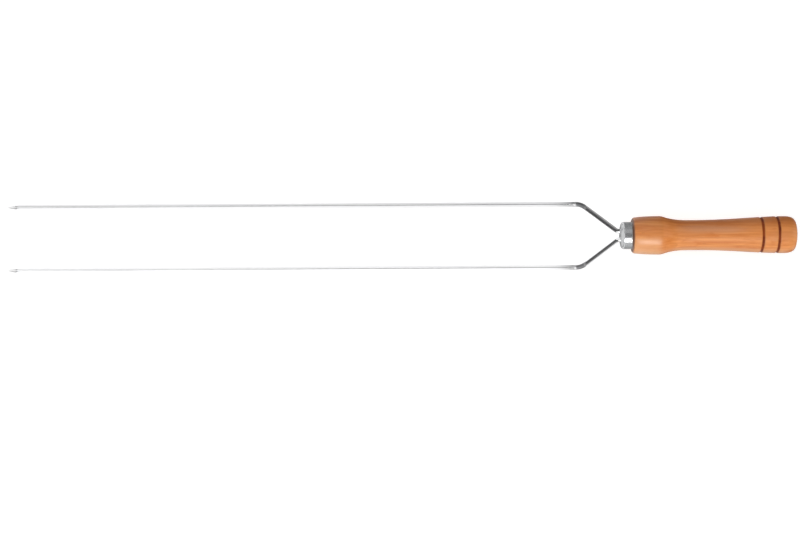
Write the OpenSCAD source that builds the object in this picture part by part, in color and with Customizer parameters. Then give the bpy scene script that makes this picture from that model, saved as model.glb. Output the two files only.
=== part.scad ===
// Double-prong grill skewer.
// Two pointed steel wires run side by side, bend together into a Y and are pressed
// into a turned wooden handle through a metal ferrule.
// X runs along the length: the points are at -X and the butt of the handle is at +X.
// The prongs lie side by side along Y, and +Z is up when the skewer lies flat.
// Left and right are as the cook sees them, holding the handle and looking at the points.
// The origin is halfway along the whole length, on the axis of the handle.

/* [Overall] */
// Length from the points of the prongs to the butt of the handle
overall_length = 600; // [500:10:700]

/* [Prongs] */
// Thickness of the wire
wire_d = 3.4; // [3:0.1:4]
// Distance between the two prongs, centre to centre
prong_spacing = 48.2; // [40:0.1:60]
// Length of the ground cone at each point
point_length = 6; // [3:0.5:10]
// Width left flat at the very end of each point
point_d = 0.6; // [0.3:0.1:1]
// How far each arm of the Y closes in for every millimetre along the length
arm_slope = 0.75; // [0.6:0.05:0.9]
// Radius of the wide bend, where the shank turns into the arm
outer_bend_r = 12; // [9:1.5:15]
// Radius of the tight bend, where the arm turns into the tang
inner_bend_r = 4.5; // [3:0.75:6]
// Length of tang inside the wood, measured from the shoulder of the handle
tang_depth = 60; // [40:1:75]
// Length of the flattened end of the tang, which stops it turning and pulling out
paddle_length = 12; // [6:1:16]
// Width of the flattened end
paddle_w = 4.6; // [4.2:0.1:5]
// Thickness of the flattened end
paddle_t = 2; // [1.6:0.1:2.4]

/* [Ferrule] */
// Outside diameter of the ferrule
ferrule_d = 20.6; // [18:0.1:22]
// Length from the top of its crowned end to the shoulder of the handle
ferrule_length = 9.2; // [7:0.1:14]
// Thickness of the drawn metal
ferrule_wall = 0.7; // [0.5:0.1:1]
// How far the rounded, crowned end reaches back along the side
ferrule_crown = 2.6; // [1.5:0.1:3]
// Play round each tang where it passes through the end
hole_play = 0.1; // [0.05:0.05:0.2]
// Distance from the tight bend of each wire to the top of the crowned end
bend_gap = 0.2; // [0:0.1:2]

/* [Handle] */
// Length of the wood behind its shoulder
handle_length = 124; // [110:1:140]
// Greatest diameter of the barrel next to the ferrule
barrel_d = 29.4; // [27:0.1:32]
// Diameter of the barrel at its front edge
barrel_front_d = 27.5; // [25:0.1:30]
// Diameter at the waist
waist_d = 23; // [20:0.1:25]
// Greatest diameter of the swell near the butt
swell_d = 28.2; // [26:0.1:30]
// Diameter of the flat face on the butt
butt_face_d = 18.6; // [14:0.1:22]
// Radius that rounds the front edge of the barrel
front_edge_r = 2; // [1:0.1:3]

/* [Burnt rings] */
// Distance of the ring nearest the butt from the butt
ring_to_butt = 14.1; // [11:0.1:18]
// Distance between the two rings
ring_spacing = 12; // [6:0.5:20]
// Width of each ring's groove
ring_w = 1.9; // [1.2:0.1:2.5]
// Depth of each ring's groove
ring_depth = 0.5; // [0.3:0.1:0.8]

/* [Hidden] */
$fn = 96;

// A little extra length, so that a cutter passes through the face it cuts
cut = 1;
// Straight pieces that stand for each curve of a turned outline
curve_steps = 10;

wire_r = wire_d / 2;
prong_y = prong_spacing / 2;
// Centre of each tang: one wire's thickness is nearly left as wood between the two
tang_y = wire_d * 0.925;
ferrule_r = ferrule_d / 2;
bore_r = ferrule_r - ferrule_wall;

point_x = -overall_length / 2;
butt_x = overall_length / 2;
shoulder_x = butt_x - handle_length;
ferrule_x = shoulder_x - ferrule_length;

// The centre line of a prong has two corners, which the bends round off
arm_angle = atan(arm_slope);
outer_setback = outer_bend_r * tan(arm_angle / 2);
inner_setback = inner_bend_r * tan(arm_angle / 2);
inner_corner_x = ferrule_x - inner_setback - bend_gap;
outer_corner_x = inner_corner_x - (prong_y - tang_y) / arm_slope;
arm_length = (prong_y - tang_y) / sin(arm_angle) - outer_setback - inner_setback;
paddle_x = shoulder_x + tang_depth - paddle_length;

// Stations along the handle, from its shoulder, and the tenon that the ferrule covers
barrel_peak = 20.5;
waist_start = barrel_peak + 22;
waist_end = waist_start + 4;
swell_peak = handle_length - 8;
tenon_front = 1.5 - ferrule_length;
tenon_chamfer = 2;

// A point on a cubic curve that leaves a towards b and comes into d from c
function curve_point(a, b, c, d, t) =
    a * pow(1 - t, 3) + 3 * b * t * pow(1 - t, 2) + 3 * c * t * t * (1 - t) + d * pow(t, 3);

// The curve as points, without its first, which is the last of the stretch before
function curve(a, b, c, d) = [for (i = [1:curve_steps]) curve_point(a, b, c, d, i / curve_steps)];

// The radius on a curve of the handle at a station, found where its points pass it
function radius_at(points, station) = lookup(station, [for (p = points) [p[1], p[0]]]);

// Outlines are [radius, distance along the axis]
front_edge = [for (a = [0:15:90])
    [barrel_front_d / 2 - front_edge_r * (1 - sin(a)), front_edge_r * (1 - cos(a))]];
barrel = curve(
    [barrel_front_d / 2, front_edge_r],
    [(barrel_front_d + barrel_d) / 4, front_edge_r + 3],
    [barrel_d / 2, barrel_peak - 8],
    [barrel_d / 2, barrel_peak]);
neck = curve(
    [barrel_d / 2, barrel_peak],
    [barrel_d / 2, barrel_peak + 4],
    [waist_d / 2, waist_start - 15.5],
    [waist_d / 2, waist_start]);
grip = curve(
    [waist_d / 2, waist_end],
    [waist_d / 2, waist_end + 29],
    [swell_d / 2, swell_peak - 21],
    [swell_d / 2, swell_peak]);
butt = curve(
    [swell_d / 2, swell_peak],
    [swell_d / 2, swell_peak + 5],
    [swell_d / 2 - 1.5, handle_length],
    [butt_face_d / 2, handle_length]);

// Lays what is built up along Z down along X, starting at a given X
module along_x(x) {
    translate([x, 0, 0]) rotate([0, 90, 0]) children();
}

// A closed cup with a crowned end at 0 and its open end at length
module cup(r, length) {
    rotate_extrude()
        polygon(concat(
            [[0, 0]],
            curve([0, 0], [r * 0.73, 0], [r, ferrule_crown / 3], [r, ferrule_crown]),
            [[r, length], [0, length]]));
}

// The flattened end of a tang: wide up and down, and thin from side to side
module paddle(extra = 0) {
    intersection() {
        along_x(paddle_x) cylinder(d = paddle_w, h = paddle_length + extra);
        translate([paddle_x, -paddle_t / 2, -paddle_w])
            cube([paddle_length + extra, paddle_t, 2 * paddle_w]);
    }
}

// A stretch of wire that starts level with the X axis, at the top of a circle round the
// origin, and turns down through arm_angle: the slice of a ring between those two directions
module bend(r) {
    reach = 2 * (r + wire_r);
    intersection() {
        rotate_extrude() translate([r, 0]) circle(r = wire_r);
        linear_extrude(wire_d + 2 * cut, center = true)
            polygon([[0, 0], [0, reach], [reach * sin(arm_angle), reach * cos(arm_angle)]]);
    }
}

// The prong on the +Y side, from its point to the end of its tang
module prong() {
    shank_x = point_x + point_length;
    shank_end = outer_corner_x - outer_setback;
    tang_x = inner_corner_x + inner_setback;
    translate([0, prong_y, 0]) {
        along_x(point_x) cylinder(d1 = point_d, d2 = wire_d, h = point_length);
        along_x(shank_x) cylinder(d = wire_d, h = shank_end - shank_x);
    }
    translate([shank_end, prong_y - outer_bend_r, 0]) bend(outer_bend_r);
    translate([outer_corner_x, prong_y, 0])
        rotate([0, 0, -arm_angle]) along_x(outer_setback) cylinder(d = wire_d, h = arm_length);
    translate([tang_x, tang_y + inner_bend_r, 0]) rotate([0, 0, 180]) bend(inner_bend_r);
    translate([0, tang_y, 0]) {
        along_x(tang_x) cylinder(d = wire_d, h = paddle_x - tang_x);
        paddle();
    }
}

module prong_left() {
    color([0.78, 0.79, 0.80]) mirror([0, 1, 0]) prong();
}

module prong_right() {
    color([0.78, 0.79, 0.80]) prong();
}

// A drawn metal cup, closed but for the two holes that the tangs pass through
module ferrule() {
    color([0.70, 0.71, 0.72])
        difference() {
            along_x(ferrule_x) cup(ferrule_r, ferrule_length);
            along_x(ferrule_x + ferrule_wall) cup(bore_r, ferrule_length + cut);
            for (side = [-1, 1])
                translate([0, side * tang_y, 0])
                    along_x(ferrule_x - cut)
                        cylinder(r = wire_r + hole_play, h = ferrule_length);
        }
}

// A turned outline with a tenon in front of its shoulder, drilled for the two tangs
module handle() {
    color([0.86, 0.57, 0.38])
        difference() {
            along_x(shoulder_x)
                rotate_extrude()
                    polygon(concat(
                        [[0, tenon_front],
                         [bore_r - tenon_chamfer, tenon_front],
                         [bore_r, tenon_front + tenon_chamfer],
                         [bore_r, 0]],
                        front_edge, barrel, neck,
                        [[waist_d / 2, waist_end]],
                        grip, butt,
                        [[0, handle_length]]));
            for (station = [handle_length - ring_to_butt, handle_length - ring_to_butt - ring_spacing])
                burnt_ring(station);
            for (side = [-1, 1])
                translate([0, side * tang_y, 0]) {
                    along_x(shoulder_x + tenon_front - cut)
                        cylinder(r = wire_r, h = paddle_x - shoulder_x - tenon_front + cut);
                    paddle();
                }
        }
}

// The cutter for one ring: a round wire pressed into the surface at a station
module burnt_ring(station) {
    groove_r = (ring_w * ring_w / 4 + ring_depth * ring_depth) / (2 * ring_depth);
    surface_r = radius_at(concat(grip, butt), station);
    along_x(shoulder_x + station)
        rotate_extrude() translate([surface_r + groove_r - ring_depth, 0]) circle(r = groove_r);
}

handle();
ferrule();
prong_left();
prong_right();
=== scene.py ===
"""Looks of a double-prong grill skewer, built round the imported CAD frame.

Everything is in metres in the frame of the CAD model: X runs from the points to the butt, the two
prongs lie side by side along Y, and Z is up. Each piece is built in mesh code in its final place.
"""

import math

import bpy
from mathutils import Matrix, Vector, noise
from mathutils.geometry import delaunay_2d_cdt


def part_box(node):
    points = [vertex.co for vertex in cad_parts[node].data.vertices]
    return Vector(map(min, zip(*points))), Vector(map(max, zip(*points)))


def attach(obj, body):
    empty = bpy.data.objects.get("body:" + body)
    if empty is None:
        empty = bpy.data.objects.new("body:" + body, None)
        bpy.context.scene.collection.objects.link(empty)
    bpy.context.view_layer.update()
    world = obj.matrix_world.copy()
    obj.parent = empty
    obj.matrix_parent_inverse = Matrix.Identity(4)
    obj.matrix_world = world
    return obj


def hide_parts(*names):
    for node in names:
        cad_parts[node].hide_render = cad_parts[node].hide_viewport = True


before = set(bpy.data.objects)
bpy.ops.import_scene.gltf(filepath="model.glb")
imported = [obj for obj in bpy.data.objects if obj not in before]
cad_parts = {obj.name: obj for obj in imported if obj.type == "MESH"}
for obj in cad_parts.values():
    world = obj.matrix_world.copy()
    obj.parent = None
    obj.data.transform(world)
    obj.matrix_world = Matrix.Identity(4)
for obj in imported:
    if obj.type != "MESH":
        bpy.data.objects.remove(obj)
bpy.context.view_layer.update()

MM = 0.001
TINY = 1e-7

# ---------------------------------------------------------------- places taken from the frame

handle_low, handle_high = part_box("handle")
ferrule_low, ferrule_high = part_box("ferrule")
prong_low, prong_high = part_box("prong_right")

POINT_X = prong_low.x
BUTT_X = handle_high.x
SHOULDER_X = ferrule_high.x
FERRULE_X = ferrule_low.x
TENON_X = handle_low.x
HANDLE_LENGTH = BUTT_X - SHOULDER_X
BARREL_R = handle_high.z
FERRULE_R = ferrule_high.z
TANG_END_X = prong_high.x

# ---------------------------------------------------------------- sizes, as the CAD source has them

WIRE_R = 1.7 * MM
PRONG_Y = prong_high.y - WIRE_R
TANG_Y = WIRE_R * 1.85
ARM_SLOPE = 0.75
OUTER_BEND_R = 12 * MM
INNER_BEND_R = 4.5 * MM
BEND_GAP = 0.2 * MM
POINT_LENGTH = 6 * MM
POINT_R = 0.3 * MM
PADDLE_LENGTH = 12 * MM
PADDLE_HALF_W = 2.3 * MM
PADDLE_HALF_T = 1.0 * MM

FERRULE_WALL = 0.7 * MM
FERRULE_CROWN = 2.6 * MM
CROWN_PULL = 0.73
HOLE_R = WIRE_R + 0.1 * MM
BORE_R = FERRULE_R - FERRULE_WALL
TENON_CHAMFER = 2 * MM

BARREL_FRONT_R = 13.75 * MM
FRONT_EDGE_R = 2 * MM
BARREL_PEAK = 20.5 * MM
WAIST_R = 11.5 * MM
WAIST_START = BARREL_PEAK + 22 * MM
WAIST_END = WAIST_START + 4 * MM
SWELL_R = 14.1 * MM
SWELL_PEAK = HANDLE_LENGTH - 8 * MM
BUTT_FACE_R = 9.3 * MM
RING_TO_BUTT = 14.1 * MM
RING_SPACING = 12 * MM
RING_W = 1.9 * MM
RING_DEPTH = 0.5 * MM
RING_STATIONS = (
    HANDLE_LENGTH - RING_TO_BUTT - RING_SPACING,
    HANDLE_LENGTH - RING_TO_BUTT,
)

# How far each stretch of the handle's outline holds its direction at its front and at its rear end
BARREL_PULLS = (3 * MM, 8 * MM)
NECK_PULLS = (4 * MM, 15.5 * MM)
GRIP_PULLS = (29 * MM, 21 * MM)
BUTT_PULLS = (5 * MM, 1.5 * MM)

# ---------------------------------------------------------------- finer detail than the CAD source has

# The handle: how finely it is divided, its eased grooves, its unevenness (how deep, how many spots a
# metre along and across, and how much stays even at the edges) and the lathe's mark on its butt
HANDLE_AROUND = 168
CURVE_STEPS = 60
EDGE_STEPS = 12
FINE_STEP = 0.02 * MM
PLAIN_STEP = 0.45 * MM
END_STEP = PLAIN_STEP * 0.6
RING_STEP = 0.14 * MM
RING_REACH = 0.8 * RING_W
BUTT_ROUNDING = 6 * MM
GROOVE_EASE = 1.35
GROOVE_POWER = 0.8
WAVE_DEPTH = 0.055 * MM
WAVE_SPOTS = (22, 60)
FIBRE_DEPTH = 0.010 * MM
FIBRE_SPOTS = (90, 1400)
SHOULDER_MARGIN = 0.3 * MM
BUTT_MARGIN = 0.001 * MM
CENTRE_MARGIN = 1.5 * MM
BUTT_RINGS = tuple(r * MM for r in (8.4, 7.2, 6.0, 4.8, 3.6, 2.6, 1.8, 1.3))
MARK_R = 1.1 * MM
MARK_DEPTH = 0.45 * MM
MARK_STEPS = (0.0, 0.35, 0.7)

# The prongs: how many steps each stretch of wire has, and its paddle's shape
WIRE_AROUND = 40
POINT_STEPS = 24
POINT_POWER = 0.92
SHANK_STEPS = 150
BEND_STEPS = 22
TIGHT_BEND_STEPS = BEND_STEPS // 2
ARM_STEPS = 16
TANG_STEPS = 12
FLARE_STEPS = 8
FLARE_LENGTH = 3 * MM
PADDLE_TRIM = 0.25 * MM

# The ferrule: how finely it is divided, the lips of its holes and its rounded rear edge
FERRULE_AROUND = 144
HOLE_AROUND = 48
DISC_R = 7.6 * MM
DISC_ROWS = 14
DISC_STEP = 0.55 * MM
DISC_FEWEST = 8
CROWN_HALVINGS = 40
MERGE_GAP = 1e-9
HOLE_SLACK = 0.995
LIP_RINGS = (0.07 * MM, 0.15 * MM, 0.25 * MM, 0.4 * MM, 0.62 * MM)
LIP_CLEAR = 0.85 * MM
LIP_WIDTH = 0.16 * MM
FRONT_LIP = 0.12 * MM
BACK_LIP = 0.05 * MM
CORNER_STEPS = 18
WALL_STEPS = 14
REAR_STEPS = 6
BORE_STEPS = 8
REAR_ROUND = 0.25 * MM

# ---------------------------------------------------------------- camera and lights

CAMERA_PLACE = (-1.15 * MM, -32.6 * MM)
CAMERA_HEIGHT = 1229 * MM
CAMERA_LENS = 72.45
CAMERA_ROLL = math.radians(-0.33)
CAMERA_CLIP = (0.05, 50)
SENSOR_WIDTH = 36

# Name, power, and the degrees by which it is tipped about X and then about Y
SUNS = (
    ("key_light", 0.65, 28, 0),
    ("low_fill", 0.22, -134, 0),
    ("end_fill", 0.36, 0, 87),
    ("front_fill", 0.10, 100, 0),
)
SUN_SPREAD = 30
FLOOR_LIGHT_POWER = 21.0
FLOOR_LIGHT_R = 0.03
SOFTBOX_PLACE = (0.21, -0.215, 0.225)
SOFTBOX_AIM = (0.18, 0, 0.01)
SOFTBOX_SIZE = (0.08, 0.14)
SOFTBOX_POWER = 0.26

scene = bpy.context.scene


def make_camera():
    """Looks straight down on the skewer, which lies across the picture with its handle to the right."""
    data = bpy.data.cameras.new("camera")
    data.sensor_width = SENSOR_WIDTH
    data.lens = CAMERA_LENS
    data.clip_start, data.clip_end = CAMERA_CLIP
    camera = bpy.data.objects.new("camera", data)
    camera.location = (*CAMERA_PLACE, CAMERA_HEIGHT)
    camera.rotation_euler = (0, 0, CAMERA_ROLL)
    scene.collection.objects.link(camera)
    scene.camera = camera


def mesh_object(name, points, faces, smooth=True):
    """A new mesh object with its origin at the frame's origin."""
    mesh = bpy.data.meshes.new(name)
    mesh.from_pydata(points, [], faces)
    mesh.validate()
    mesh.update()
    if smooth:
        mesh.shade_smooth()
    piece = bpy.data.objects.new(name, mesh)
    scene.collection.objects.link(piece)
    return piece


# ---------------------------------------------------------------- outlines


def curve_point(a, b, c, d, t):
    """A point on a cubic curve that leaves a towards b and comes into d from c."""
    s = 1 - t
    return tuple(
        p * s**3 + 3 * q * t * s * s + 3 * r * t * t * s + w * t**3
        for p, q, r, w in zip(a, b, c, d)
    )


def curve(a, b, c, d):
    """The curve as points, without its first."""
    return [curve_point(a, b, c, d, i / CURVE_STEPS) for i in range(1, CURVE_STEPS + 1)]


def even(points, spacing):
    """The same line with points about spacing apart, and both ends kept."""
    lengths = [0.0]
    for p, q in zip(points, points[1:]):
        lengths.append(lengths[-1] + math.dist(p, q))
    count = max(2, round(lengths[-1] / spacing))
    result = []
    i = 0
    for k in range(count + 1):
        at = lengths[-1] * k / count
        while i < len(points) - 2 and lengths[i + 1] < at:
            i += 1
        share = (at - lengths[i]) / (lengths[i + 1] - lengths[i])
        result.append(tuple(u + (v - u) * share for u, v in zip(points[i], points[i + 1])))
    return result


def circle(x, r, around):
    """Points round the X axis at one place along it."""
    turns = [2 * math.pi * k / around for k in range(around)]
    return [(x, r * math.cos(a), r * math.sin(a)) for a in turns]


def lathe(outline, around):
    """Points and faces of a surface turned round the X axis from (x, radius) points, poles included."""
    points = []
    rings = []
    for x, r in outline:
        ring = [(x, 0.0, 0.0)] if r < TINY else circle(x, r, around)
        rings.append(list(range(len(points), len(points) + len(ring))))
        points.extend(ring)
    faces = []
    for one, two in zip(rings, rings[1:]):
        for k in range(around):
            n = (k + 1) % around
            if len(one) == 1:
                faces.append((one[0], two[n], two[k]))
            elif len(two) == 1:
                faces.append((one[k], one[n], two[0]))
            else:
                faces.append((one[k], one[n], two[n], two[k]))
    return points, faces


# ---------------------------------------------------------------- handle


def handle_curve():
    """The turned outline behind the shoulder as fine (station, radius) points, without the rings."""
    edge = []
    for k in range(EDGE_STEPS + 1):
        a = math.radians(90 * k / EDGE_STEPS)
        radius = BARREL_FRONT_R - FRONT_EDGE_R * (1 - math.sin(a))
        edge.append((FRONT_EDGE_R * (1 - math.cos(a)), radius))
    barrel = curve(
        (FRONT_EDGE_R, BARREL_FRONT_R),
        (FRONT_EDGE_R + BARREL_PULLS[0], (BARREL_FRONT_R + BARREL_R) / 2),
        (BARREL_PEAK - BARREL_PULLS[1], BARREL_R),
        (BARREL_PEAK, BARREL_R),
    )
    neck = curve(
        (BARREL_PEAK, BARREL_R),
        (BARREL_PEAK + NECK_PULLS[0], BARREL_R),
        (WAIST_START - NECK_PULLS[1], WAIST_R),
        (WAIST_START, WAIST_R),
    )
    grip = curve(
        (WAIST_END, WAIST_R),
        (WAIST_END + GRIP_PULLS[0], WAIST_R),
        (SWELL_PEAK - GRIP_PULLS[1], SWELL_R),
        (SWELL_PEAK, SWELL_R),
    )
    butt = curve(
        (SWELL_PEAK, SWELL_R),
        (SWELL_PEAK + BUTT_PULLS[0], SWELL_R),
        (HANDLE_LENGTH, SWELL_R - BUTT_PULLS[1]),
        (HANDLE_LENGTH, BUTT_FACE_R),
    )
    return edge + barrel + neck + [(WAIST_END, WAIST_R)] + grip + butt


def ring_cut(station):
    """How deep a burnt ring's groove is at a station: a round-bottomed cut with eased lips."""
    depth = 0.0
    for centre in RING_STATIONS:
        away = abs(station - centre) / (RING_W / 2)
        if away < GROOVE_EASE:
            depth += RING_DEPTH * (0.5 + 0.5 * math.cos(math.pi * away / GROOVE_EASE)) ** GROOVE_POWER
    return depth


def outline_step(station):
    """How far apart the outline's points are: closest in the rings, then at both ends."""
    if any(abs(station - centre) < RING_REACH for centre in RING_STATIONS):
        return RING_STEP
    if station < FRONT_EDGE_R or station > HANDLE_LENGTH - BUTT_ROUNDING:
        return END_STEP
    return PLAIN_STEP


def unevenness(x, y, z, along, across):
    """Smooth noise from 0 to 1 with along spots a metre on X and across spots a metre round it."""
    return 0.5 + 0.5 * noise.noise(Vector((x * along, y * across, z * across)))


def uneven_wood(x, y, z):
    """The point, drawn in a little by slow waves and by the fibres if it is on the turned side."""
    r = math.hypot(y, z)
    on_side = SHOULDER_X + SHOULDER_MARGIN < x < BUTT_X - BUTT_MARGIN and r > CENTRE_MARGIN
    if not on_side:
        return x, y, z
    depth = WAVE_DEPTH * unevenness(x, y, z, *WAVE_SPOTS)
    depth += FIBRE_DEPTH * unevenness(x, y, z, *FIBRE_SPOTS)
    shrink = 1 - depth / r
    return x, y * shrink, z * shrink


def build_handle():
    """The turned handle in one closed surface, from its tenon to the lathe's mark on its butt."""
    outline = [
        (TENON_X, 0.0),
        (TENON_X, BORE_R - TENON_CHAMFER),
        (TENON_X + TENON_CHAMFER, BORE_R),
        (SHOULDER_X, BORE_R),
    ]
    line = even(handle_curve(), FINE_STEP)
    kept_at = None
    travelled = 0.0
    previous = line[0]
    for station, radius in line:
        travelled += math.dist(previous, (station, radius))
        previous = (station, radius)
        if kept_at is None or travelled - kept_at >= outline_step(station):
            outline.append((SHOULDER_X + station, radius - ring_cut(station)))
            kept_at = travelled
    outline += [(BUTT_X, r) for r in BUTT_RINGS]
    outline += [(BUTT_X - MARK_DEPTH * t, MARK_R * (1 - t)) for t in MARK_STEPS]
    outline.append((BUTT_X - MARK_DEPTH, 0.0))
    points, faces = lathe(outline, HANDLE_AROUND)
    return mesh_object("wooden_handle", [uneven_wood(*point) for point in points], faces)


# ---------------------------------------------------------------- prongs


def corner_places():
    """The bend angle, the tight bend's corner and reach along X, and where the wide bend starts."""
    angle = math.atan(ARM_SLOPE)
    outer_back = OUTER_BEND_R * math.tan(angle / 2)
    inner_back = INNER_BEND_R * math.tan(angle / 2)
    inner_x = FERRULE_X - inner_back - BEND_GAP
    outer_x = inner_x - (PRONG_Y - TANG_Y) / ARM_SLOPE
    return angle, inner_x, inner_back, outer_x - outer_back


BEND_ANGLE, INNER_X, INNER_BACK, BEND_START_X = corner_places()


def wire_path():
    """Stations along the +Y prong's centre line: (x, y, heading, half width across, half width up)."""
    path = []
    for k in range(POINT_STEPS + 1):
        t = k / POINT_STEPS
        radius = POINT_R + (WIRE_R - POINT_R) * t**POINT_POWER
        path.append((POINT_X + POINT_LENGTH * t, PRONG_Y, 0.0, radius, radius))
    start = POINT_X + POINT_LENGTH
    for k in range(1, SHANK_STEPS + 1):
        x = start + (BEND_START_X - start) * k / SHANK_STEPS
        path.append((x, PRONG_Y, 0.0, WIRE_R, WIRE_R))

    for k in range(1, BEND_STEPS + 1):
        a = BEND_ANGLE * k / BEND_STEPS
        x = BEND_START_X + OUTER_BEND_R * math.sin(a)
        y = PRONG_Y - OUTER_BEND_R * (1 - math.cos(a))
        path.append((x, y, -a, WIRE_R, WIRE_R))
    arm_start = Vector(path[-1][:2])
    arm_end_x = INNER_X - INNER_BACK * math.cos(BEND_ANGLE)
    arm_end = Vector((arm_end_x, TANG_Y + INNER_BACK * math.sin(BEND_ANGLE)))
    for k in range(1, ARM_STEPS + 1):
        place = arm_start.lerp(arm_end, k / ARM_STEPS)
        path.append((place.x, place.y, -BEND_ANGLE, WIRE_R, WIRE_R))

    tang_x = INNER_X + INNER_BACK
    for k in range(1, TIGHT_BEND_STEPS + 1):
        a = BEND_ANGLE * (1 - k / TIGHT_BEND_STEPS)
        x = tang_x - INNER_BEND_R * math.sin(a)
        y = TANG_Y + INNER_BEND_R * (1 - math.cos(a))
        path.append((x, y, -a, WIRE_R, WIRE_R))
    paddle_x = TANG_END_X - PADDLE_LENGTH
    for k in range(1, TANG_STEPS + 1):
        path.append((tang_x + (paddle_x - tang_x) * k / TANG_STEPS, TANG_Y, 0.0, WIRE_R, WIRE_R))
    for k in range(1, FLARE_STEPS + 1):
        t = k / FLARE_STEPS
        s = t * t * (3 - 2 * t)
        across = WIRE_R + (PADDLE_HALF_T - WIRE_R) * s
        up = WIRE_R + (PADDLE_HALF_W - WIRE_R) * s
        path.append((paddle_x + FLARE_LENGTH * t, TANG_Y, 0.0, across, up))
    path.append((TANG_END_X - PADDLE_TRIM, TANG_Y, 0.0, PADDLE_HALF_T, PADDLE_HALF_W))
    path.append((TANG_END_X, TANG_Y, 0.0, PADDLE_HALF_T - PADDLE_TRIM, PADDLE_HALF_W - PADDLE_TRIM))
    return path


def build_prong(name, side):
    """One wire, swept along its path and closed at both ends. side is 1 for +Y and -1 for -Y.

    Its grain attribute holds the distance along the wire and the place in its section, so that drawing
    lines follow the bends.
    """
    path = wire_path()
    points = []
    grain = []
    travelled = 0.0
    for i, (x, y, heading, across, up) in enumerate(path):
        if i:
            travelled += math.dist((x, y), path[i - 1][:2])
        across_x, across_y = -math.sin(heading), math.cos(heading)
        for k in range(WIRE_AROUND):
            a = 2 * math.pi * k / WIRE_AROUND
            out, rise = across * math.cos(a), up * math.sin(a)
            points.append((x + across_x * out, side * (y + across_y * out), rise))
            grain.append((travelled, WIRE_R * math.cos(a), WIRE_R * math.sin(a) + side))
    faces = []
    for i in range(len(path) - 1):
        one, two = i * WIRE_AROUND, (i + 1) * WIRE_AROUND
        for k in range(WIRE_AROUND):
            n = (k + 1) % WIRE_AROUND
            face = (one + k, one + n, two + n, two + k)
            faces.append(face if side > 0 else face[::-1])
    last = (len(path) - 1) * WIRE_AROUND
    for first, (x, y, *_), is_point in ((0, path[0], True), (last, path[-1], False)):
        centre = len(points)
        points.append((x, side * y, 0.0))
        grain.append((0.0 if is_point else travelled, 0.0, float(side)))
        for k in range(WIRE_AROUND):
            n = (k + 1) % WIRE_AROUND
            near, far = (n, k) if is_point == (side > 0) else (k, n)
            faces.append((centre, first + near, first + far))
    piece = mesh_object(name, points, faces)
    layer = piece.data.attributes.new("grain", "FLOAT_VECTOR", "POINT")
    layer.data.foreach_set("vector", [c for g in grain for c in g])
    return piece


# ---------------------------------------------------------------- ferrule


def crown_depth(r, radius):
    """How far behind its top a crowned cup's end lies at radius r."""
    low, high = 0.0, 1.0
    shape = ((0, 0), (radius * CROWN_PULL, 0), (radius, FERRULE_CROWN / 3), (radius, FERRULE_CROWN))
    for _ in range(CROWN_HALVINGS):
        middle = (low + high) / 2
        if curve_point(*shape, middle)[0] < r:
            low = middle
        else:
            high = middle
    return curve_point(*shape, low)[1]


def outer_x(r):
    """Where the ferrule's front lies at radius r."""
    return FERRULE_X + crown_depth(min(r, FERRULE_R - TINY), FERRULE_R)


def inner_x(r):
    """Where the inside of the ferrule's front lies at radius r."""
    return FERRULE_X + FERRULE_WALL + crown_depth(min(r, BORE_R - TINY), BORE_R)


def from_hole(spot):
    """How far a spot of the ferrule's end lies from the middle of the nearer hole."""
    return min((spot - Vector((side * TANG_Y, 0))).length for side in (1, -1))


def pierced_disc(depth_at, lip):
    """The ferrule's end with two round holes: points, triangles, its edge loop and its hole loops."""
    flat = []
    edges = []
    loops = []

    def ring(centre_y, r, count, is_edge):
        first = len(flat)
        for k in range(count):
            a = 2 * math.pi * k / count
            flat.append(Vector((centre_y + r * math.cos(a), r * math.sin(a))))
        if is_edge:
            edges.extend((first + k, first + (k + 1) % count) for k in range(count))
            loops.append(list(range(first, first + count)))

    ring(0, DISC_R, FERRULE_AROUND, True)
    for side in (1, -1):
        ring(side * TANG_Y, HOLE_R, HOLE_AROUND, True)
    for side in (1, -1):
        for grow in LIP_RINGS:
            ring(side * TANG_Y, HOLE_R + grow, HOLE_AROUND, False)
    for row in range(1, DISC_ROWS):
        r = DISC_R * row / DISC_ROWS
        count = max(DISC_FEWEST, round(2 * math.pi * r / DISC_STEP))
        for k in range(count):
            a = 2 * math.pi * (k + 0.5 * (row % 2)) / count
            spot = Vector((r * math.cos(a), r * math.sin(a)))
            if from_hole(spot) > HOLE_R + LIP_CLEAR:
                flat.append(spot)
    spots, _, triangles, source, _, _ = delaunay_2d_cdt(flat, edges, [], 0, MERGE_GAP)
    where = {old: new for new, olds in enumerate(source) for old in olds}
    kept = []
    for triangle in triangles:
        middle = sum((spots[i] for i in triangle), Vector((0, 0))) / 3
        if from_hole(middle) > HOLE_R * HOLE_SLACK:
            kept.append(tuple(triangle))
    points = []
    for spot in spots:
        rise = lip * math.exp(-max(from_hole(spot) - HOLE_R, 0) / LIP_WIDTH)
        points.append((depth_at(spot.length) + rise, spot.x, spot.y))
    return points, kept, [[where[i] for i in loop] for loop in loops]


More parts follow.
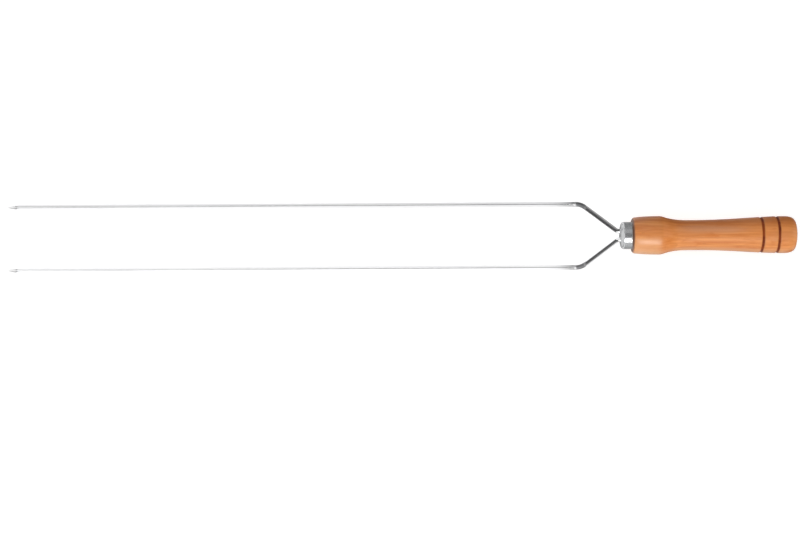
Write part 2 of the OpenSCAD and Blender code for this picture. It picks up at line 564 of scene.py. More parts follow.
def ferrule_line():
    """The ferrule's outline from the edge of its front disc, along its wall and back up its bore."""
    wall_start = FERRULE_X + FERRULE_CROWN
    wall_end = SHOULDER_X - REAR_ROUND
    bore_end = FERRULE_X + FERRULE_WALL + FERRULE_CROWN
    line = []
    for k in range(1, CORNER_STEPS):
        r = DISC_R + (FERRULE_R - DISC_R) * math.sin(math.pi / 2 * k / CORNER_STEPS)
        line.append((outer_x(r), r))
    for k in range(WALL_STEPS + 1):
        line.append((wall_start + (wall_end - wall_start) * k / WALL_STEPS, FERRULE_R))
    for k in range(1, REAR_STEPS + 1):
        a = math.pi / 2 * k / REAR_STEPS
        x = SHOULDER_X - REAR_ROUND * (1 - math.sin(a))
        line.append((x, FERRULE_R - REAR_ROUND * (1 - math.cos(a))))
    for k in range(BORE_STEPS + 1):
        line.append((SHOULDER_X + (bore_end - SHOULDER_X) * k / BORE_STEPS, BORE_R))
    for k in range(1, CORNER_STEPS):
        r = BORE_R + (DISC_R - BORE_R) * (1 - math.cos(math.pi / 2 * k / CORNER_STEPS))
        line.append((inner_x(r), r))
    return line


def build_ferrule():
    """A drawn cup: a crowned, pierced end, a rounded corner and a straight wall, with its thickness."""
    front, front_faces, front_loops = pierced_disc(outer_x, FRONT_LIP)
    back, back_faces, back_loops = pierced_disc(inner_x, BACK_LIP)
    points = front + back
    faces = [face[::-1] for face in front_faces]
    faces += [tuple(len(front) + i for i in face) for face in back_faces]
    back_loops = [[len(front) + i for i in loop] for loop in back_loops]

    def join(one, two):
        """Faces between two loops of the same number of points."""
        for k in range(len(one)):
            n = (k + 1) % len(one)
            faces.append((one[k], one[n], two[n], two[k]))

    previous = front_loops[0]
    for x, r in ferrule_line():
        ring = list(range(len(points), len(points) + FERRULE_AROUND))
        points.extend(circle(x, r, FERRULE_AROUND))
        join(previous, ring)
        previous = ring
    join(previous, back_loops[0])
    for loop_front, loop_back in zip(front_loops[1:], back_loops[1:]):
        join(loop_back, loop_front)
    return mesh_object("ferrule_cup", points, faces)


# ---------------------------------------------------------------- material tools


class Graph:
    """Adds nodes to a node tree. Each method returns the socket that is used next."""

    def __init__(self, tree):
        self.tree = tree
        tree.nodes.clear()

    def node(self, kind, inputs=(), **settings):
        made = self.tree.nodes.new(kind)
        for key, value in settings.items():
            setattr(made, key, value)
        for key, value in dict(inputs).items():
            self.feed(made.inputs[key], value)
        return made

    def feed(self, socket, value):
        if isinstance(value, bpy.types.NodeSocket):
            self.tree.links.new(value, socket)
        else:
            socket.default_value = value

    def math(self, operation, a, b=0.0, c=0.0):
        return self.node("ShaderNodeMath", {0: a, 1: b, 2: c}, operation=operation).outputs[0]

    def times(self, a, b):
        return self.math("MULTIPLY", a, b)

    def plus(self, base, share, amount):
        """base, plus amount as far as share says."""
        return self.math("MULTIPLY_ADD", share, amount, base)

    def ragged(self, base, texture, amount):
        """base moved either way by up to half of amount, as a texture says."""
        return self.plus(base, self.math("SUBTRACT", texture, 0.5), amount)

    def length(self, a, b):
        """The length of a line that runs a along one axis and b along another."""
        return self.math("SQRT", self.math("ADD", self.times(a, a), self.times(b, b)))

    def ease(self, value, low, high, to_low=0.0, to_high=1.0):
        """Runs smoothly from to_low to to_high as value goes from low to high, and stays there beyond."""
        inputs = {"Value": value, "From Min": low, "From Max": high, "To Min": to_low, "To Max": to_high}
        return self.node("ShaderNodeMapRange", inputs, interpolation_type="SMOOTHSTEP").outputs[0]

    def window(self, value, low, high, soft):
        """1 between low and high, 0 outside, with soft edges."""
        rise = self.ease(value, low - soft, low + soft)
        fall = self.ease(value, high + soft, high - soft)
        return self.times(rise, fall)

    def noise(self, vector, scale, detail, roughness, distortion=0.0):
        inputs = {
            "Vector": vector,
            "Scale": scale,
            "Detail": detail,
            "Roughness": roughness,
            "Distortion": distortion,
        }
        return self.node("ShaderNodeTexNoise", inputs).outputs["Fac"]

    def stretched(self, vector, along, across, detail, roughness, distortion=0.0):
        """Noise with along spots a metre on the first axis and across spots a metre on the others."""
        scale = {0: vector, 1: (along, across, across)}
        scaled = self.node("ShaderNodeVectorMath", scale, operation="MULTIPLY").outputs[0]
        return self.noise(scaled, 1.0, detail, roughness, distortion)

    def tint(self, tone, share, colour):
        """tone, turned towards colour as far as share says."""
        made = self.node("ShaderNodeMix", data_type="RGBA")
        self.feed(made.inputs["Factor"], share)
        self.feed(made.inputs[6], tone)
        self.feed(made.inputs[7], colour)
        return made.outputs[2]

    def wash(self, tone, share, colour, strength):
        """tone, turned towards colour by no more than strength, as share says."""
        return self.tint(tone, self.times(share, strength), colour)

    def bump(self, height, distance, strength):
        inputs = {"Height": height, "Distance": distance, "Strength": strength}
        return self.node("ShaderNodeBump", inputs).outputs[0]


def new_material(name):
    material = bpy.data.materials.new(name)
    material.use_nodes = True
    graph = Graph(material.node_tree)
    shader = graph.node("ShaderNodeBsdfPrincipled")
    output = graph.node("ShaderNodeOutputMaterial")
    graph.tree.links.new(shader.outputs[0], output.inputs[0])
    return material, graph, shader


def rgb(r, g, b):
    """A colour from its linear red, green and blue."""
    return (r, g, b, 1.0)


def grey(level):
    return rgb(level, level, level)


def object_place(g):
    """A point's place in the frame, as a vector and as its x, y and z."""
    place = g.node("ShaderNodeTexCoord").outputs["Object"]
    x, y, z = g.node("ShaderNodeSeparateXYZ", {0: place}).outputs
    return place, x, y, z


# ---------------------------------------------------------------- wood

# Textures: spots a metre along the grain, spots a metre across it, detail, roughness, distortion
DRIFT = (9, 60, 3.0, 0.55)
FIBRE = (26, 900, 4.0, 0.6)
STREAK = (12, 300, 3.0, 0.55)
PATCH = (22, 80, 2.0, 0.5)
CLOUD = (60, 200, 3.0, 0.6, 0.4)
FLECK = (150, 2600, 2.0, 0.6)
UNEVEN = (260, 160, 3.0, 0.6)

# Textures that aren't stretched: spots a metre, detail, roughness
# The first texture makes the edge of the painted shade behind the ferrule wander
CORNER_SHADE_NOISE = (300.0, 3.0, 0.6)
LACQUER = (420.0, 2.0, 0.5)

# The value at which each texture starts to show, and the value at which it shows in full
STREAK_RANGE = (0.30, 0.70)
FIBRE_RANGE = (0.35, 0.72)
PATCH_RANGE = (0.42, 0.72)
CLOUD_RANGE = (0.48, 0.70)
PORE_RANGE = (0.66, 0.74)
UNEVEN_RANGE = (0.35, 0.65)

WOOD_DARK = rgb(0.61, 0.186, 0.042)
WOOD_LIGHT = rgb(0.81, 0.318, 0.092)
LATE_WOOD = rgb(0.48, 0.125, 0.022)
CHAR_DARK = rgb(0.115, 0.013, 0.001)
CHAR_RED = rgb(0.235, 0.040, 0.002)

# Colours that the wood turns towards in places, and how far it turns at most
END_GRAIN = (rgb(0.60, 0.240, 0.062), 0.50)
FIBRE_BROWN = (rgb(0.54, 0.150, 0.030), 0.24)
PATCH_TAN = (rgb(0.66, 0.270, 0.100), 0.50)
CLOUD_RED = (rgb(0.56, 0.145, 0.024), 0.50)
GREY_STREAK = (rgb(0.62, 0.290, 0.150), 0.55)
# Painted shade: the back (+Y) side from the grip on turns darker and richer
BACK_SHADE = (rgb(0.55, 0.140, 0.018), 0.45)
# Painted sheen: the lower (-Y) side of the barrel's front turns paler
BARREL_SHEEN = (rgb(0.80, 0.400, 0.180), 0.60)
# Painted light: the surfaces that face the front (-Y) turn paler
FRONT_RIM_LIGHT = (rgb(0.80, 0.430, 0.220), 0.55)
PORE_BROWN = (rgb(0.26, 0.085, 0.030), 0.38)
NECK_AMBER = (rgb(0.60, 0.180, 0.028), 0.42)
HALO_BROWN = (rgb(0.33, 0.085, 0.020), 0.34)
# Painted shade: the wood darkens in the corner behind the ferrule
CORNER_SHADE = (rgb(0.11, 0.040, 0.016), 0.85)
CHAR_COVER = 0.96

# Growth rings: their width and wander, how far the pith is off the axis and how it leans along X,
# how sharply the late wood darkens and ends, and how strongly it shows on the sides and on the butt
GROWTH_RING = 2.7 * MM
GROWTH_WANDER = 5.2 * MM
PITH_OFFSET = (21 * MM, -18 * MM)
PITH_LEAN = (0.05, -0.04)
LATE_POWER = 3.0
LATE_END = (1.0, 0.93)
LATE_ON_SIDES = 0.34
LATE_ON_BUTT = 0.30

# Where colours lie along X and across it. Three numbers are a low edge, a high edge and their
# softness, and two are where it starts and where it is full
END_GRAIN_X = (BUTT_X - 9 * MM, BUTT_X - 0.5 * MM)
GREY_X = (SHOULDER_X + 36 * MM, SHOULDER_X + 82 * MM, 12 * MM)
GREY_Y = (1.5 * MM, 6.5 * MM, 2 * MM)
# Where the painted shade on the back lies along X and across it
BACK_SHADE_X = (SHOULDER_X + 49 * MM, SHOULDER_X + 69 * MM)
BACK_SHADE_Y = (3 * MM, 9 * MM)
# Where the painted sheen on the barrel lies along X and across it
BARREL_SHEEN_X = (SHOULDER_X - 4 * MM, SHOULDER_X + 21 * MM, 5 * MM)
BARREL_SHEEN_Y = (1 * MM, -4 * MM)
# Where the painted light on the front-facing side lies along X, and how far a surface must face the front
FRONT_RIM_X = (SHOULDER_X + 3 * MM, BUTT_X - 7 * MM, 3 * MM)
FRONT_RIM_FACING = (-0.70, -0.98)
NECK_X = (SHOULDER_X + BARREL_PEAK + 2 * MM, SHOULDER_X + BARREL_PEAK + 11 * MM, 3.5 * MM)
SCORCH_FROM_RING = (0.64 * RING_W, 0.34 * RING_W)
HALO_FROM_RING = (1.1 * RING_W, 0.45 * RING_W)
# How far the painted shade behind the ferrule reaches, and how soft its edge is
CORNER_REACH = 0.6 * MM
CORNER_SOFT = 0.5 * MM

# How far their edges wander
SIDE_WANDER = 6 * MM
FACING_WANDER = 0.20
SCORCH_WANDER = 0.7 * MM
CORNER_WANDER = 1.0 * MM

# The surface: roughness along the fibres, what charring adds to it and takes off the coat, relief
FIBRE_ROUGHNESS = (0.3, 0.7, 0.40, 0.52)
CHAR_ROUGHER = 0.25
COAT = 0.50
CHAR_COAT_LOSS = 0.48
TOOL_MARK = 1.1 * MM
FIBRE_RELIEF = 0.7
TOOL_RELIEF = 0.10
PORE_RELIEF = 0.6
RELIEF_IN_FILM = 0.25
WOOD_BUMP = (0.05 * MM, 0.7)
FILM_BUMP = (0.04 * MM, 0.5)


def growth_rings(g, place, x, y, z):
    """Dark late wood at the end of each year's ring, round a pith that lies outside the handle."""
    from_pith = [
        g.math("ADD", across, g.plus(offset, x, lean))
        for across, offset, lean in zip((y, z), PITH_OFFSET, PITH_LEAN)
    ]
    distance = g.ragged(g.length(*from_pith), g.stretched(place, *DRIFT), GROWTH_WANDER)
    phase = g.math("FRACT", g.times(distance, 1 / GROWTH_RING))
    return g.times(g.math("POWER", phase, LATE_POWER), g.ease(phase, *LATE_END))


def streak_and_painted_light(g, tone, streak, x, y, z):
    """A greyer streak, richer painted shade on the back, pale painted sheen on the barrel front and pale
    painted light on the front side.
    """
    side = g.ragged(y, streak, SIDE_WANDER)
    tone = g.wash(tone, g.times(g.window(x, *GREY_X), g.window(side, *GREY_Y)), *GREY_STREAK)
    # Painted shade on the back (+Y) side from the grip on
    tone = g.wash(tone, g.times(g.ease(x, *BACK_SHADE_X), g.ease(side, *BACK_SHADE_Y)), *BACK_SHADE)
    # Painted sheen on the lower side of the barrel's front
    tone = g.wash(tone, g.times(g.window(x, *BARREL_SHEEN_X), g.ease(side, *BARREL_SHEEN_Y)), *BARREL_SHEEN)
    # Painted light on the surfaces that face the front
    facing = g.ragged(g.math("DIVIDE", y, g.length(y, z)), streak, FACING_WANDER)
    return g.wash(tone, g.times(g.window(x, *FRONT_RIM_X), g.ease(facing, *FRONT_RIM_FACING)), *FRONT_RIM_LIGHT)


def ring_burns(g, x, uneven):
    """How far a place is charred by the burnt rings, and how far it lies in their brown halo."""
    wander = g.ragged(x, uneven, SCORCH_WANDER)
    scorches = []
    halos = []
    for station in RING_STATIONS:
        away = g.math("ABSOLUTE", g.math("SUBTRACT", wander, SHOULDER_X + station))
        scorches.append(g.ease(away, *SCORCH_FROM_RING))
        halos.append(g.ease(away, *HALO_FROM_RING))
    return g.math("MAXIMUM", *scorches), g.math("MAXIMUM", *halos)


def wood_material():
    """Turned light hardwood under clear lacquer: growth rings, fibres, pores and scorched rings.

    The pattern is solid, so the growth rings run along the sides and turn into arcs on the butt.
    """
    material, g, shader = new_material("lacquered_wood")
    place, x, y, z = object_place(g)
    fibre = g.stretched(place, *FIBRE)
    streak = g.stretched(place, *STREAK)
    patch = g.stretched(place, *PATCH)
    cloud = g.stretched(place, *CLOUD)
    pore = g.ease(g.stretched(place, *FLECK), *PORE_RANGE)
    uneven = g.stretched(place, *UNEVEN)

    tone = g.tint(WOOD_DARK, g.ease(streak, *STREAK_RANGE), WOOD_LIGHT)
    end_grain = g.ease(x, *END_GRAIN_X)
    tone = g.wash(tone, end_grain, *END_GRAIN)
    late_share = g.plus(LATE_ON_SIDES, end_grain, LATE_ON_BUTT)
    tone = g.tint(tone, g.times(growth_rings(g, place, x, y, z), late_share), LATE_WOOD)
    tone = g.wash(tone, g.ease(fibre, *FIBRE_RANGE), *FIBRE_BROWN)
    tone = g.wash(tone, g.ease(patch, *PATCH_RANGE), *PATCH_TAN)
    tone = g.wash(tone, g.ease(cloud, *CLOUD_RANGE), *CLOUD_RED)
    # A greyer streak, with painted shade on the back and painted sheen and light on the front
    tone = streak_and_painted_light(g, tone, streak, x, y, z)
    tone = g.wash(tone, pore, *PORE_BROWN)

    # The neck's slope cuts across the fibres and drinks more lacquer
    tone = g.wash(tone, g.window(x, *NECK_X), *NECK_AMBER)

    # Scorched rings: nearly black in the groove, brown at its lips, uneven round the handle
    scorch, halo = ring_burns(g, x, uneven)
    tone = g.wash(tone, halo, *HALO_BROWN)
    burnt = g.tint(CHAR_DARK, g.ease(uneven, *UNEVEN_RANGE), CHAR_RED)
    tone = g.wash(tone, scorch, burnt, CHAR_COVER)

    # Painted shade in the corner behind the ferrule
    shade_edge = g.ragged(SHOULDER_X + CORNER_REACH, g.noise(place, *CORNER_SHADE_NOISE), CORNER_WANDER)
    corner = g.ease(g.math("SUBTRACT", x, shade_edge), CORNER_SOFT, -CORNER_SOFT)
    tone = g.wash(tone, corner, *CORNER_SHADE)

    g.feed(shader.inputs["Base Color"], tone)
    g.feed(shader.inputs["Roughness"], g.plus(g.ease(fibre, *FIBRE_ROUGHNESS), scorch, CHAR_ROUGHER))
    g.feed(shader.inputs["Coat Weight"], g.plus(COAT, scorch, -CHAR_COAT_LOSS))
    shader.inputs["Specular IOR Level"].default_value = 0.3
    shader.inputs["Coat Roughness"].default_value = 0.20
    shader.inputs["Coat IOR"].default_value = 1.5

    # Relief of fibres, pores and the lathe's fine marks, softened by the lacquer's own surface
    marks = g.math("SINE", g.times(x, 2 * math.pi / TOOL_MARK))
    marks = g.times(marks, g.ease(uneven, *UNEVEN_RANGE))
    relief = g.plus(g.times(fibre, FIBRE_RELIEF), marks, TOOL_RELIEF)
    relief = g.math("SUBTRACT", relief, g.times(pore, PORE_RELIEF))
    film = g.plus(g.noise(place, *LACQUER), relief, RELIEF_IN_FILM)
    g.feed(shader.inputs["Normal"], g.bump(relief, *WOOD_BUMP))
    g.feed(shader.inputs["Coat Normal"], g.bump(film, *FILM_BUMP))
    return material


# ---------------------------------------------------------------- metal

# Textures, ranges and colours as for the wood
WIRE_LINES = (12, 5200, 3.0, 0.6)
WIRE_SMUDGE = (45, 260, 3.0, 0.55)
WIRE_GRINDING = (5200, 90, 2.0, 0.6)
WIRE_LINE_RANGE = (0.55, 0.75)
# Painted dark reflection on the bend, over its real satin finish
PAINTED_DARK_BEND = (rgb(0.12, 0.12, 0.125), 0.86)
GROUND_STEEL = grey(0.98)

# How light each wire is, and the tone of its smudges and of its lines as a share of that
# The right wire is painted darker than the left: painted shade on a copy of the same steel
RIGHT_SHADED_LIGHT = 0.78
LEFT_LIGHT = 0.95
SMUDGE_TONE = 0.94
LINE_TONE = 0.70
LINE_STRENGTH = 0.30
COOLER = 0.01

# Where the wire is ground, where it is satin and painted dark, and where its rubbed stretch starts and is
# full
GROUND_FROM_POINT = (POINT_LENGTH * 1.15, POINT_LENGTH * 0.9)
WORKED_X = (BEND_START_X + 1 * MM, BEND_START_X + 8.5 * MM, 1.5 * MM)
RUBBED_X = (BEND_START_X - 12 * MM, BEND_START_X - 70 * MM)
WIRE_WANDER = 3 * MM

# Roughness of bright wire, and what is added to it where it is smudged, rubbed, ground and satin
WIRE_ROUGHNESS = 0.04
SMUDGE_ROUGHER = 0.05
RUBBED_ROUGHER = 0.08
GROUND_ROUGHER = 0.20
WORKED_ROUGHER = 0.42
WIRE_BUMP = (0.01 * MM, 0.2)

SHEET_LINES = (60, 2600, 3.0, 0.6)
SHEET_MOTTLE = (700.0, 3.0, 0.6)
SHEET_SMUDGE = (150.0, 2.0, 0.5)
SHEET_SMUDGE_RANGE = (0.5, 0.75)
SHEET_BUMP = (0.02 * MM, 0.3)
LINE_RELIEF = 0.6
MOTTLE_RELIEF = 0.3
ZINC_DARK = rgb(0.53, 0.54, 0.55)
ZINC_LIGHT = rgb(0.65, 0.65, 0.655)
ZINC_SMUDGE = (grey(0.40), 0.25)
ZINC_ROUGHNESS = 0.20
MOTTLE_ROUGHER = 0.08

# Painted shade at the ferrule's rear edge: how far it reaches at the top, how its edge wanders and
# softens, and its look
JOINT_SHADE_BROWN = (rgb(0.085, 0.040, 0.018), 0.92)
JOINT_SHADE_SPREAD = (380.0, 3.0, 0.6)
JOINT_SHADE_TOP = (0.3 * FERRULE_R, FERRULE_R)
JOINT_SHADE_REACH = 1.1 * MM
JOINT_SHADE_WANDER = 0.6 * MM
JOINT_SHADE_SOFT = (-0.3 * MM, 0.4 * MM)
JOINT_SHADE_COVER = 0.9
JOINT_SHADE_ROUGHER = 0.25


def steel_grey(light, share, cooler):
    """A share of a wire's light, with its blue a little stronger."""
    return rgb(light * share, light * share, light * (share + cooler))


def steel_material(name, light):
    """Bright drawn wire: fine lines along it, a rubbed shank, satin marks at the bend with a painted dark
    reflection, ground points.
    """
    material, g, shader = new_material(name)
    along = g.node("ShaderNodeAttribute", attribute_name="grain").outputs["Vector"]
    distance = g.node("ShaderNodeSeparateXYZ", {0: along}).outputs[0]
    lines = g.stretched(along, *WIRE_LINES)
    smudge = g.stretched(along, *WIRE_SMUDGE)
    grinding = g.stretched(along, *WIRE_GRINDING)
    ground = g.ease(distance, *GROUND_FROM_POINT)
    place_x = g.plus(object_place(g)[1], smudge, WIRE_WANDER)
    satin_dark_bend = g.window(place_x, *WORKED_X)
    rubbed = g.ease(place_x, *RUBBED_X)

    tone = g.tint(steel_grey(light, SMUDGE_TONE, COOLER), smudge, steel_grey(light, 1, COOLER))
    line_tone = steel_grey(light, LINE_TONE, COOLER)
    tone = g.wash(tone, g.ease(lines, *WIRE_LINE_RANGE), line_tone, LINE_STRENGTH)
    # Painted dark reflection on the satin bend
    tone = g.wash(tone, satin_dark_bend, *PAINTED_DARK_BEND)
    tone = g.tint(tone, ground, GROUND_STEEL)
    rough = g.plus(WIRE_ROUGHNESS, smudge, SMUDGE_ROUGHER)
    rough = g.plus(rough, rubbed, RUBBED_ROUGHER)
    rough = g.plus(rough, ground, GROUND_ROUGHER)
    rough = g.plus(rough, satin_dark_bend, WORKED_ROUGHER)
    g.feed(shader.inputs["Base Color"], tone)
    g.feed(shader.inputs["Roughness"], rough)
    shader.inputs["Metallic"].default_value = 1.0
    g.feed(shader.inputs["Normal"], g.bump(g.tint(lines, ground, grinding), *WIRE_BUMP))
    return material


def ferrule_material():
    """Zinc-plated drawn sheet: a soft sheen, fine draw lines, faint mottling and painted shade at its
    rear edge.
    """
    material, g, shader = new_material("plated_sheet")
    place, x, _, z = object_place(g)
    lines = g.stretched(place, *SHEET_LINES)
    mottle = g.noise(place, *SHEET_MOTTLE)
    smudge = g.noise(place, *SHEET_SMUDGE)
    tone = g.tint(ZINC_DARK, mottle, ZINC_LIGHT)
    tone = g.wash(tone, g.ease(smudge, *SHEET_SMUDGE_RANGE), *ZINC_SMUDGE)

    # Brown painted shade along the rear edge, wider on top
    reach = g.times(g.ease(z, *JOINT_SHADE_TOP), JOINT_SHADE_REACH)
    reach = g.ragged(reach, g.noise(place, *JOINT_SHADE_SPREAD), JOINT_SHADE_WANDER)
    from_edge = g.math("SUBTRACT", SHOULDER_X, x)
    joint_shade = g.ease(g.math("SUBTRACT", reach, from_edge), *JOINT_SHADE_SOFT)
    tone = g.wash(tone, joint_shade, *JOINT_SHADE_BROWN)

    g.feed(shader.inputs["Base Color"], tone)
    # Where the painted shade lies, the sheet is less metallic and rougher
    g.feed(shader.inputs["Metallic"], g.math("SUBTRACT", 1.0, g.times(joint_shade, JOINT_SHADE_COVER)))
    rough = g.plus(ZINC_ROUGHNESS, mottle, MOTTLE_ROUGHER)
    g.feed(shader.inputs["Roughness"], g.plus(rough, joint_shade, JOINT_SHADE_ROUGHER))
    height = g.plus(g.times(mottle, MOTTLE_RELIEF), lines, LINE_RELIEF)
    g.feed(shader.inputs["Normal"], g.bump(height, *SHEET_BUMP))
    return material


# ---------------------------------------------------------------- floor

FLOOR_HALF = 8.0
FLOOR_CLEAR = 0.05 * MM
FLOOR_GREY = grey(0.86)
FLOOR_CLOUD_GREY = grey(0.88)
FLOOR_CLOUD = (3.0, 2.0, 0.5)
FLOOR_GLOW = (0.5, 4.0, 0.30, 0.85)


def floor_material():
    """A plain, pale, matt floor with a faint glow that grows far from the skewer."""
    material, g, shader = new_material("pale_floor")
    place = g.node("ShaderNodeTexCoord").outputs["Object"]
    away = g.node("ShaderNodeVectorMath", {0: place}, operation="LENGTH").outputs["Value"]
    cloud = g.noise(place, *FLOOR_CLOUD)
    g.feed(shader.inputs["Base Color"], g.tint(FLOOR_GREY, cloud, FLOOR_CLOUD_GREY))
    g.feed(shader.inputs["Emission Strength"], g.ease(away, *FLOOR_GLOW))
    shader.inputs["Emission Color"].default_value = grey(1.0)
    shader.inputs["Roughness"].default_value = 0.9
    shader.inputs["Specular IOR Level"].default_value = 0.1
    material.cycles.emission_sampling = "NONE"
    return material


def make_floor():
    """The surface under the skewer. It touches the barrel and both points, so it leans a little."""
    tip_x, tip_z = POINT_X + POINT_LENGTH, -WIRE_R
    barrel_x, barrel_z = SHOULDER_X + BARREL_PEAK, -BARREL_R
    slope = (barrel_z - tip_z) / (barrel_x - tip_x)

    def corner(side_x, side_y):
        x, y = side_x * FLOOR_HALF, side_y * FLOOR_HALF
        return x, y, tip_z + (x - tip_x) * slope - FLOOR_CLEAR

    corners = [corner(-1, -1), corner(1, -1), corner(1, 1), corner(-1, 1)]
    floor = mesh_object("floor", corners, [(0, 1, 2, 3)], smooth=False)
    floor.data.materials.append(floor_material())
    floor.visible_diffuse = False
    floor.visible_glossy = False
    return floor


# ---------------------------------------------------------------- lights


def light_object(name, kind, energy):
    data = bpy.data.lights.new(name, kind)
    data.energy = energy
    light = bpy.data.objects.new(name, data)
    scene.collection.objects.link(light)
    return light


def limit_reach(light, floor, floor_only):
    """Makes a light shine on the floor alone, or on everything else."""
    group = bpy.data.collections.new(light.name + "_reach")
    group.objects.link(floor)
    group.collection_objects[0].light_linking.link_state = "INCLUDE" if floor_only else "EXCLUDE"
    light.light_linking.receiver_collection = group


def make_suns(floor):
    """Distant soft lights for the skewer alone, each tipped from straight overhead."""
    for name, power, lean, turn in SUNS:
        sun = light_object(name, "SUN", power * math.pi)
        sun.data.angle = math.radians(SUN_SPREAD)
        sun.data.use_shadow = False
        sun.rotation_euler = (math.radians(lean), math.radians(turn), 0)
        sun.visible_glossy = False
        limit_reach(sun, floor, False)


def make_floor_light(floor):
    """A small light at the camera's place for the floor alone, equally strong at any distance.

    The skewer hides most of the shadow that it throws from there.
    """
    light = light_object("floor_light", "POINT", 1.0)
    light.data.shadow_soft_size = FLOOR_LIGHT_R
    light.data.use_nodes = True
    g = Graph(light.data.node_tree)
    falloff = g.node("ShaderNodeLightFalloff", {"Strength": FLOOR_LIGHT_POWER}).outputs["Constant"]
    emission = g.node("ShaderNodeEmission", {"Strength": falloff}).outputs[0]
    g.node("ShaderNodeOutputLight", {"Surface": emission})
    light.location = (*CAMERA_PLACE, CAMERA_HEIGHT)
    light.visible_glossy = False
    limit_reach(light, floor, True)


def make_softbox():
    """A small softbox low in front, which gives the ferrule and the barrel their highlight."""
    box = light_object("softbox", "AREA", SOFTBOX_POWER)
    box.data.shape = "RECTANGLE"
    box.data.size, box.data.size_y = SOFTBOX_SIZE
    box.location = SOFTBOX_PLACE
    box.rotation_euler = (Vector(SOFTBOX_AIM) - box.location).to_track_quat("-Z", "Y").to_euler()
    box.visible_diffuse = False
    box.visible_camera = False


# ---------------------------------------------------------------- studio

# The steel is nearly a mirror, so it shows the studio round it. A panel's light depends only on the
# direction (x, y, z) that a reflection leaves in, and aside is y without its sign. Each bound below
# names one of those. Three numbers after it are a low edge, a high edge and their softness, and two
# are where the light starts and where it is full.

STUDIO_BASE = 0.08
DIFFUSE_CUT = 0.45

# The wide arch across the middle, with two dark seams that meet over the ferrule
ARCH_X = (-0.34, 0.104, 0.006)
ARCH_LOW = (0.60, 0.72, 1.04, 1.20)
ARCH_LEFT = (0.0, -0.2, 1.0, 1.12)
ARCH_BACK = (0.64, 0.76)
ARCH_BACK_CUT = 0.25
SEAM_ASIDE = 0.16
SEAM_SLOPE = -4 / 3
SEAM_INNER = (-0.07, -0.10)
SEAM_OUTER = (0.12, 0.20)
SEAM_LOW = (0.1, 0.0)

# The narrower grey arch beside it: its light by y, and what is added in places
STRIP_X = (0.13, 0.19, 0.02)
STRIP_FRONT = (-0.80, -0.97, 0.22, 0.62)
STRIP_CHANGES = (
    (0.26, (("y", 0.36, 0.74, 0.12),)),
    (0.35, (("y", -0.65, -0.22, 0.10),)),
    (-0.20, (("y", 0.76, 0.92),)),
    (-0.08, (("y", 0.0, 0.30, 0.08),)),
)

# The panel at the butt's end, graded from the floor up and dimmer high in front
BUTT_END = 0.9
BUTT_END_X = (0.50, 0.60)
BUTT_END_RISE = (-0.2, 0.9, 0.30, 1.0)
BUTT_END_CUT = 0.65
BUTT_END_DIM = (("y", -0.15, -0.40), ("z", 0.1, 0.4))

# The other panels: the light of each, and its bounds
OVERHEAD = (0.55, (("x", 0.17, 0.27, 0.02), ("y", -0.06, 0.16, 0.06)))
LOW_FRONT = (0.5, (("x", 0.22, 0.42, 0.03), ("y", -0.45, -0.55)))
LOW_BACK = (0.08, (("x", 0.22, 0.42, 0.03), ("y", 0.45, 0.55), ("z", 0.15, 0.30)))
FRONT_CORNER = (0.7, (("y", -0.45, -0.60), ("z", 0.2, -0.1), ("x", 0.45, 0.55)))
BACK_CORNER = (0.9, (("y", 0.50, 0.62), ("z", 0.25, -0.05), ("x", -0.58, -0.30, 0.03)))
POINT_END = (0.92, (("x", -0.52, -0.62),))
POINT_END_GAP = (0.8, (("x", -0.57, -0.34, 0.03), ("aside", 0.50, 0.40)))

# Dark straight below, which the ferrule's front shows
BELOW = (-0.88, -0.97, 1.0, 0.25)


def inside(g, way, bounds):
    """How far a direction lies inside bounds."""
    share = 1.0
    for axis, *edges in bounds:
        shape = g.window if len(edges) == 3 else g.ease
        share = g.times(share, shape(way[axis], *edges))
    return share


def with_panels(g, light, way, panels):
    """The light in a direction with panels added to it."""
    for power, bounds in panels:
        light = g.plus(light, inside(g, way, bounds), power)
    return light


def arch_light(g, way):
    """The wide arch, brightest low down and dimmer behind, with its two dark seams."""
    level = g.times(g.ease(way["aside"], *ARCH_LOW), g.ease(way["x"], *ARCH_LEFT))
    off_seam = g.math("SUBTRACT", way["aside"], g.plus(SEAM_ASIDE, way["x"], SEAM_SLOPE))
    clear = g.math("MAXIMUM", g.ease(off_seam, *SEAM_INNER), g.ease(off_seam, *SEAM_OUTER))
    clear = g.math("MAXIMUM", clear, g.ease(way["z"], *SEAM_LOW))
    back_dim = g.plus(1.0, g.ease(way["y"], *ARCH_BACK), -ARCH_BACK_CUT)
    return g.times(g.times(g.times(g.window(way["x"], *ARCH_X), level), clear), back_dim)


def butt_end_light(g, way):
    """How much of its light the panel at the butt's end gives in a direction."""
    panel = g.times(g.ease(way["x"], *BUTT_END_X), g.ease(way["z"], *BUTT_END_RISE))
    return g.times(panel, g.plus(1.0, inside(g, way, BUTT_END_DIM), -BUTT_END_CUT))


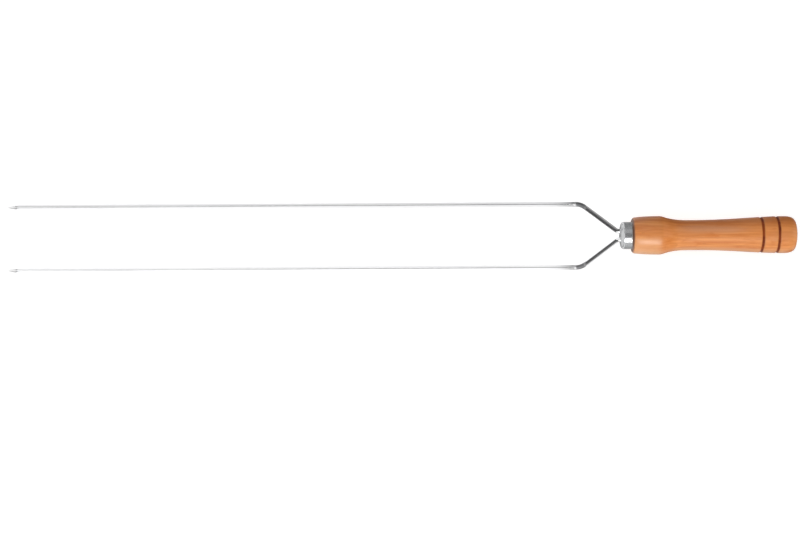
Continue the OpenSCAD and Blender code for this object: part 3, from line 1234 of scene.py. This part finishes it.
def studio_light(g, x, y, z):
    """How bright the studio is in a direction."""
    way = {"x": x, "y": y, "z": z, "aside": g.math("ABSOLUTE", y)}
    strip = with_panels(g, g.ease(y, *STRIP_FRONT), way, STRIP_CHANGES)
    light = g.plus(arch_light(g, way), g.window(x, *STRIP_X), strip)
    light = with_panels(g, light, way, (OVERHEAD, LOW_FRONT, LOW_BACK))
    light = g.plus(light, butt_end_light(g, way), BUTT_END)
    light = with_panels(g, light, way, (FRONT_CORNER, BACK_CORNER, POINT_END, POINT_END_GAP))
    return g.times(g.math("ADD", light, STUDIO_BASE), g.ease(z, *BELOW))


def make_studio():
    """The world: white to the camera, the studio's panels to the metal, and dimmer to matt surfaces."""
    world = bpy.data.worlds.new("studio")
    world.use_nodes = True
    scene.world = world
    g = Graph(world.node_tree)
    direction = g.node("ShaderNodeTexCoord").outputs["Generated"]
    x, y, z = g.node("ShaderNodeSeparateXYZ", {0: direction}).outputs
    ray = g.node("ShaderNodeLightPath").outputs
    light = g.times(studio_light(g, x, y, z), g.plus(1.0, ray["Is Diffuse Ray"], -DIFFUSE_CUT))
    seen = g.node("ShaderNodeMix", {0: ray["Is Camera Ray"], 2: light, 3: 1.0}, data_type="FLOAT")
    background = g.node("ShaderNodeBackground", {"Color": grey(1.0), "Strength": seen.outputs[0]})
    g.node("ShaderNodeOutputWorld", {"Surface": background.outputs[0]})
    scene.view_settings.view_transform = "Standard"


# ---------------------------------------------------------------- assembly


def finish_piece(piece, material, node):
    piece.data.materials.clear()
    piece.data.materials.append(material)
    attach(piece, "root")
    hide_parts(node)


make_camera()
floor = make_floor()
make_suns(floor)
make_floor_light(floor)
make_softbox()
make_studio()

handle = build_handle()
right_prong = build_prong("right_prong", 1)
left_prong = build_prong("left_prong", -1)
ferrule = build_ferrule()

finish_piece(handle, wood_material(), "handle")
finish_piece(ferrule, ferrule_material(), "ferrule")
# The right wire's steel is the darker copy, as painted shade
right_steel = steel_material("bright_wire_right", RIGHT_SHADED_LIGHT)
finish_piece(right_prong, right_steel, "prong_right")
left_steel = steel_material("bright_wire_left", LEFT_LIGHT)
finish_piece(left_prong, left_steel, "prong_left")
